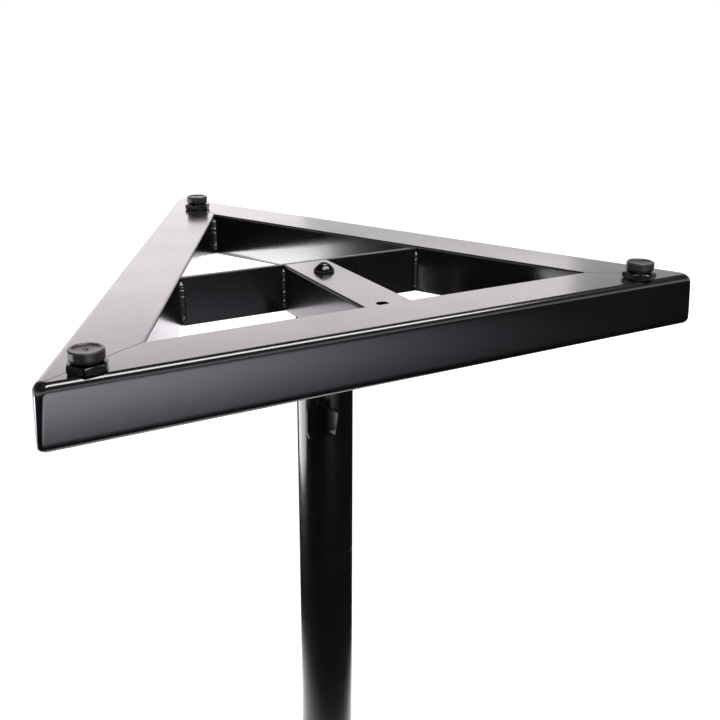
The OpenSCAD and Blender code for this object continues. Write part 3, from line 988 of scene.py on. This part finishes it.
def thread_tree():
    """A threaded stud: a core with a helical ridge, its lower end at Place."""
    tree, given = new_tree("stud_thread", ("Radius", "Depth", "Pitch", "Length", "Plain End"), ("Place",))
    calc = partial(math_node, tree)
    root = calc("SUBTRACT", given["Radius"], given["Depth"])
    run = calc("SUBTRACT", given["Length"], calc("MULTIPLY", given["Plain End"], 2.0))
    turns = calc("DIVIDE", run, given["Pitch"])
    spiral = outcome(tree, "GeometryNodeCurveSpiral",
                     {"Resolution": 28, "Rotations": turns, "Start Radius": root, "End Radius": root,
                      "Height": run})
    ring = outcome(tree, "GeometryNodeCurvePrimitiveCircle", {"Resolution": 6, "Radius": given["Depth"]})
    ridge = outcome(tree, "GeometryNodeCurveToMesh",
                    {"Curve": spiral, "Profile Curve": ring, "Fill Caps": True})
    core = outcome(tree, "GeometryNodeMeshCylinder",
                   {"Vertices": 48, "Radius": root, "Depth": given["Length"]})
    join = add_node(tree, "GeometryNodeJoinGeometry")
    for shape, height in ((ridge, given["Plain End"]), (core, calc("DIVIDE", given["Length"], 2.0))):
        offset = outcome(tree, "ShaderNodeCombineXYZ", {"Z": height})
        lifted = outcome(tree, "GeometryNodeTransform", {"Geometry": shape, "Translation": offset})
        feed(tree, lifted, join.inputs["Geometry"])
    placed = outcome(tree, "GeometryNodeTransform",
                     {"Geometry": join.outputs["Geometry"], "Translation": given["Place"]})
    end_tree(tree, placed, given["Material"])
    return tree


class STAND_OT_welds(bpy.types.Operator):
    """Run the weld beads between the frames' pieces"""

    bl_idname = "stand.welds"
    bl_label = "Weld beads"

    def execute(self, context):
        tree = weld_tree()
        for part, seed in (("top", 3.0), ("base", 4.0)):
            name = f"{part}_weld_beads"
            values = {
                "Radius": sizes().weld_width / 2, "Ripple": 0.24, "Ripple Pitch": 0.0021,
                "Unevenness": 0.5, "Seed": seed, "Material": bpy.data.materials["weld_paint"],
            }
            mesh = grown_mesh(name, tree, values, self.make_paths(part))
            add_piece(name, mesh, "stand", "weld_paint")
        return {"FINISHED"}

    def make_paths(self, part):
        """The upright lines that the beads follow, as edges that end in the tubes' long roundings."""
        plan = Triangle(part)
        bar_low, bar_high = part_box(f"{part}_cross_bar")
        tongue_low, tongue_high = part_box(f"{part}_tongue")
        spots = [plan.inner[side].to_tuple() for side in SIDES]
        for y in (bar_low.y, bar_high.y):
            reach = plan.half_gap(y - plan.front)
            spots += [(-reach, y), (reach, y)]
        for x in (tongue_low.x, tongue_high.x):
            spots += [(x, tongue_low.y), (x, tongue_high.y)]
        share_of_rounding = 0.7
        margin = sizes().edge_round * share_of_rounding
        sketch = bmesh.new()
        for x, y in spots:
            ends = [sketch.verts.new((x, y, z)) for z in (plan.low + margin, bar_high.z - margin)]
            sketch.edges.new(ends)
        return sketched_mesh(f"{part}_weld_paths", sketch)


class STAND_OT_studs(bpy.types.Operator):
    """Cut the threads of the pads' and feet's studs"""

    bl_idname = "stand.studs"
    bl_label = "Threaded studs"

    def execute(self, context):
        tree = thread_tree()
        for side in SIDES:
            self.make_stud(tree, f"{side}_pad_stud", f"{side}_pad")
            self.make_stud(tree, f"{side}_foot_stud", f"{side}_levelling_foot")
        return {"FINISHED"}

    def make_stud(self, tree, node, body):
        name = f"{node}_threaded"
        pitch = sizes().thread_pitch
        clearance, depth_of_pitch, plain_length = 0.00006, 0.36, 0.0007
        x, y, radius, bottom, top = round_box(node)
        values = {
            "Radius": radius - clearance, "Depth": pitch * depth_of_pitch, "Pitch": pitch,
            "Length": top - bottom, "Plain End": plain_length, "Place": (x, y, bottom),
            "Material": bpy.data.materials["bright_zinc"],
        }
        mesh = finished_mesh(name, grown_mesh(name, tree, values))
        add_piece(name, mesh, body, "bright_zinc", node)


# Studio

def flat_card(name, reach, height):
    """A level square card of the stage."""
    sketch = bmesh.new()
    bmesh.ops.create_grid(sketch, x_segments=1, y_segments=1, size=reach)
    bmesh.ops.translate(sketch, vec=(0.0, 0.0, height), verts=sketch.verts)
    return add_object(name, sketched_mesh(name, sketch))


def seen_rays(tree, path):
    """One for rays from the camera and for what gloss or glass shows, and zero for light."""
    mirrored = math_node(tree, "MAXIMUM", path["Is Glossy Ray"], path["Is Transmission Ray"])
    return math_node(tree, "MAXIMUM", path["Is Camera Ray"], mirrored)


def softbox(name, level, width, height, place, aim, colour=WHITE):
    """A soft lamp of an even brightness, turned to its aim and hidden from the camera."""
    lamp = bpy.data.lights.new(name, "AREA")
    lamp.shape = "RECTANGLE"
    lamp.size = width
    lamp.size_y = height
    lamp.energy = level * pi * width * height
    lamp.color = colour
    holder = add_object(name, lamp)
    turn = (Vector(aim) - Vector(place)).to_track_quat("-Z", "Y")
    holder.matrix_world = Matrix.Translation(place) @ turn.to_matrix().to_4x4()
    holder.visible_camera = False


class STAND_OT_stage(bpy.types.Operator):
    """Set up the floor, the lamps, the world and the camera"""

    bl_idname = "stand.stage"
    bl_label = "Floor, lamps and camera"

    def execute(self, context):
        self.make_floor()
        self.make_flag()
        self.make_world(context.scene)
        self.make_lamps()
        self.make_camera(context.scene)
        context.scene.view_settings.view_transform = "Standard"
        return {"FINISHED"}

    def make_floor(self):
        """A pale floor that keeps its shadow, white further out, and a little brighter in reflections."""
        floor = flat_card("floor", reach=9.0, height=0.0)
        tone = studio().floor_tone
        tree, shader, vector = new_material("pale_floor", (tone, tone, tone, 1.0), 0.9)
        shader.inputs["Specular IOR Level"].default_value = 0.0
        path = add_node(tree, "ShaderNodeLightPath").outputs
        glow = spread(tree, vector_length(tree, vector), 0.5, 2.2, 0.45, 1.0)
        mirrored = (1.5, 1.40, 1.53, 1.0)
        tint = mix_colour(tree, path["Is Camera Ray"], mirrored, (*WHITE, 1.0))
        feed(tree, tint, shader.inputs["Emission Color"])
        strength = math_node(tree, "MULTIPLY", seen_rays(tree, path), glow)
        feed(tree, strength, shader.inputs["Emission Strength"])
        set_material(floor, "pale_floor")

    def make_flag(self):
        """A dark card just over the floor, seen in reflections alone: a painted dark reflection that keeps
        the black paint black.

        It is open under the stand and, past its reach, behind the stand except far on the right.
        Its front has one glowing patch, a painted bright reflection seen in the front face, with no lamp
        there."""
        flag = flat_card("dark_flag", reach=6.0, height=0.012)
        tree, shader, vector = new_material("reflection_only_flag", (0.012, 0.012, 0.013, 1.0), 0.9)
        shader.inputs["Specular IOR Level"].default_value = 0.0
        split = add_node(tree, "ShaderNodeSeparateXYZ", {"Vector": vector}).outputs
        across, depth = split["X"], split["Y"]
        calc = partial(math_node, tree)
        length = vector_length(tree, vector)
        reach = studio().flag_reach
        beyond = spread(tree, length, reach - 0.10, reach + 0.10)
        below = spread(tree, length, 0.30, 0.50, 1.0, 0.0)
        skew = calc("MULTIPLY_ADD", depth, -1.1, across)
        rear = calc("MULTIPLY", spread(tree, depth, 0.1, 0.6), spread(tree, skew, 0.0, 0.6, 1.0, 0.0))
        opening = calc("MAXIMUM", calc("MULTIPLY", beyond, rear), below)
        slant = calc("MULTIPLY_ADD", across, -0.38, depth)
        front = calc("MULTIPLY", spread(tree, slant, -2.46, -2.32),
                     spread(tree, depth, -1.97, -1.60, 1.0, 0.0))
        front = calc("MULTIPLY", front, spread(tree, across, 0.0, 1.7, 1.0, 0.1))
        front = calc("MULTIPLY", front, spread(tree, across, -1.1, -0.5))
        # Painted reflection: this patch glows by emission, with no lamp there, and shows only where the
        # front face reflects it
        glowing = calc("MULTIPLY", front, studio().front_glow_level)
        feed(tree, glowing, shader.inputs["Emission Strength"])
        shader.inputs["Emission Color"].default_value = (1.0, 0.94, 1.10, 1.0)
        feed(tree, calc("SUBTRACT", 1.0, opening), shader.inputs["Alpha"])
        set_material(flag, "reflection_only_flag")
        flag.visible_camera = False
        flag.visible_diffuse = False
        flag.visible_shadow = False
        flag.visible_transmission = False

    def make_world(self, scene):
        """White for the camera, a bright horizon for reflections and a dim even light."""
        world = bpy.data.worlds.new("studio")
        scene.world = world
        world.use_nodes = True
        tree = world.node_tree
        calc = partial(math_node, tree)
        even_light = 0.30
        background = tree.nodes["Background"]
        path = add_node(tree, "ShaderNodeLightPath").outputs
        direction = add_node(tree, "ShaderNodeTexCoord").outputs["Generated"]
        split = add_node(tree, "ShaderNodeSeparateXYZ", {"Vector": direction}).outputs
        wall = spread(tree, split["Z"], 0.10, 0.45, 1.0, 0.05)
        seen = seen_rays(tree, path)
        shown = calc("MULTIPLY", seen, wall)
        bare = calc("MULTIPLY", calc("SUBTRACT", 1.0, seen), even_light)
        strength = calc("MAXIMUM", calc("ADD", shown, bare), path["Is Camera Ray"])
        feed(tree, strength, background.inputs["Strength"])
        background.inputs["Color"].default_value = (*WHITE, 1.0)

    def make_lamps(self):
        light = studio()
        top = (0.0, -0.1, 0.7)
        softbox("overhead_strip", light.key_level, 1.5, 0.55, (0.35, -0.50, 2.05), (0.35, -0.40, 0.7))
        softbox("rear_softbox", light.rear_level, 3.05, 0.70, (0.95, 2.70, 1.82), top, PINKISH)
        softbox("rear_edge", light.rear_level * 0.62, 1.85, 0.44, (0.35, 2.70, 1.245), top, PINKISH)
        softbox("low_softbox", light.low_level, 1.0, 0.22, (-0.70, 0.69, 0.12), (-0.02, -0.1, 0.5))
        softbox("left_glint", light.glint_level, 0.60, 0.17, (-2.1, 0.58, 0.09), (0.03, 0.05, 0.68))

    def make_camera(self, scene):
        """The camera at the photo's angle, aimed at a point on the top frame's upper plane."""
        light = studio()
        camera = add_object("camera", bpy.data.cameras.new("camera"))
        camera.data.lens = light.lens
        camera.data.sensor_width = 36.0
        azimuth, elevation = light.azimuth, light.elevation
        back = Vector((sin(azimuth) * cos(elevation), -cos(azimuth) * cos(elevation), sin(elevation)))
        level = Vector((cos(azimuth), sin(azimuth), 0.0))
        upward = back.cross(level)
        across = level * cos(light.roll) + upward * sin(light.roll)
        above = upward * cos(light.roll) - level * sin(light.roll)
        low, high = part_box("top_front_tube")
        aim = Vector((light.aim_side, low.y + light.aim_back, high.z))
        pose = Matrix.Identity(4)
        for column, axis in enumerate((across, above, back, aim + back * light.distance)):
            pose.col[column].xyz = axis
        camera.matrix_world = pose
        scene.camera = camera


class STAND_PT_panel(bpy.types.Panel):
    """Lists the stand's sizes, colours and pieces"""

    bl_label = "Speaker stand"
    bl_idname = "STAND_PT_panel"
    bl_space_type = "VIEW_3D"
    bl_region_type = "UI"
    bl_category = "Speaker stand"

    def draw(self, context):
        for setting, group in SETTINGS:
            box = self.layout.box()
            for name in group.__annotations__:
                box.prop(getattr(context.scene, setting), name)
        for operator in OPERATORS:
            self.layout.operator(operator.bl_idname)


OPERATORS = (
    STAND_OT_frame_tubes,
    STAND_OT_tongues,
    STAND_OT_column,
    STAND_OT_rubber,
    STAND_OT_nuts,
    STAND_OT_column_bolts,
    STAND_OT_inner_pieces,
    STAND_OT_welds,
    STAND_OT_studs,
    STAND_OT_stage,
)
SETTINGS = (
    ("stand_sizes", StandSizes),
    ("stand_colours", StandColours),
    ("stand_studio", StandStudio),
)


def register():
    for name, group in SETTINGS:
        bpy.utils.register_class(group)
        setattr(bpy.types.Scene, name, PointerProperty(type=group))
    for group in (*OPERATORS, STAND_PT_panel):
        bpy.utils.register_class(group)


def unregister():
    for group in reversed((*OPERATORS, STAND_PT_panel)):
        bpy.utils.unregister_class(group)
    for name, group in reversed(SETTINGS):
        delattr(bpy.types.Scene, name)
        bpy.utils.unregister_class(group)


def main():
    register()
    make_materials()
    for operator in OPERATORS:
        family, name = operator.bl_idname.split(".")
        getattr(getattr(bpy.ops, family), name)()


if __name__ == "__main__":
    main()
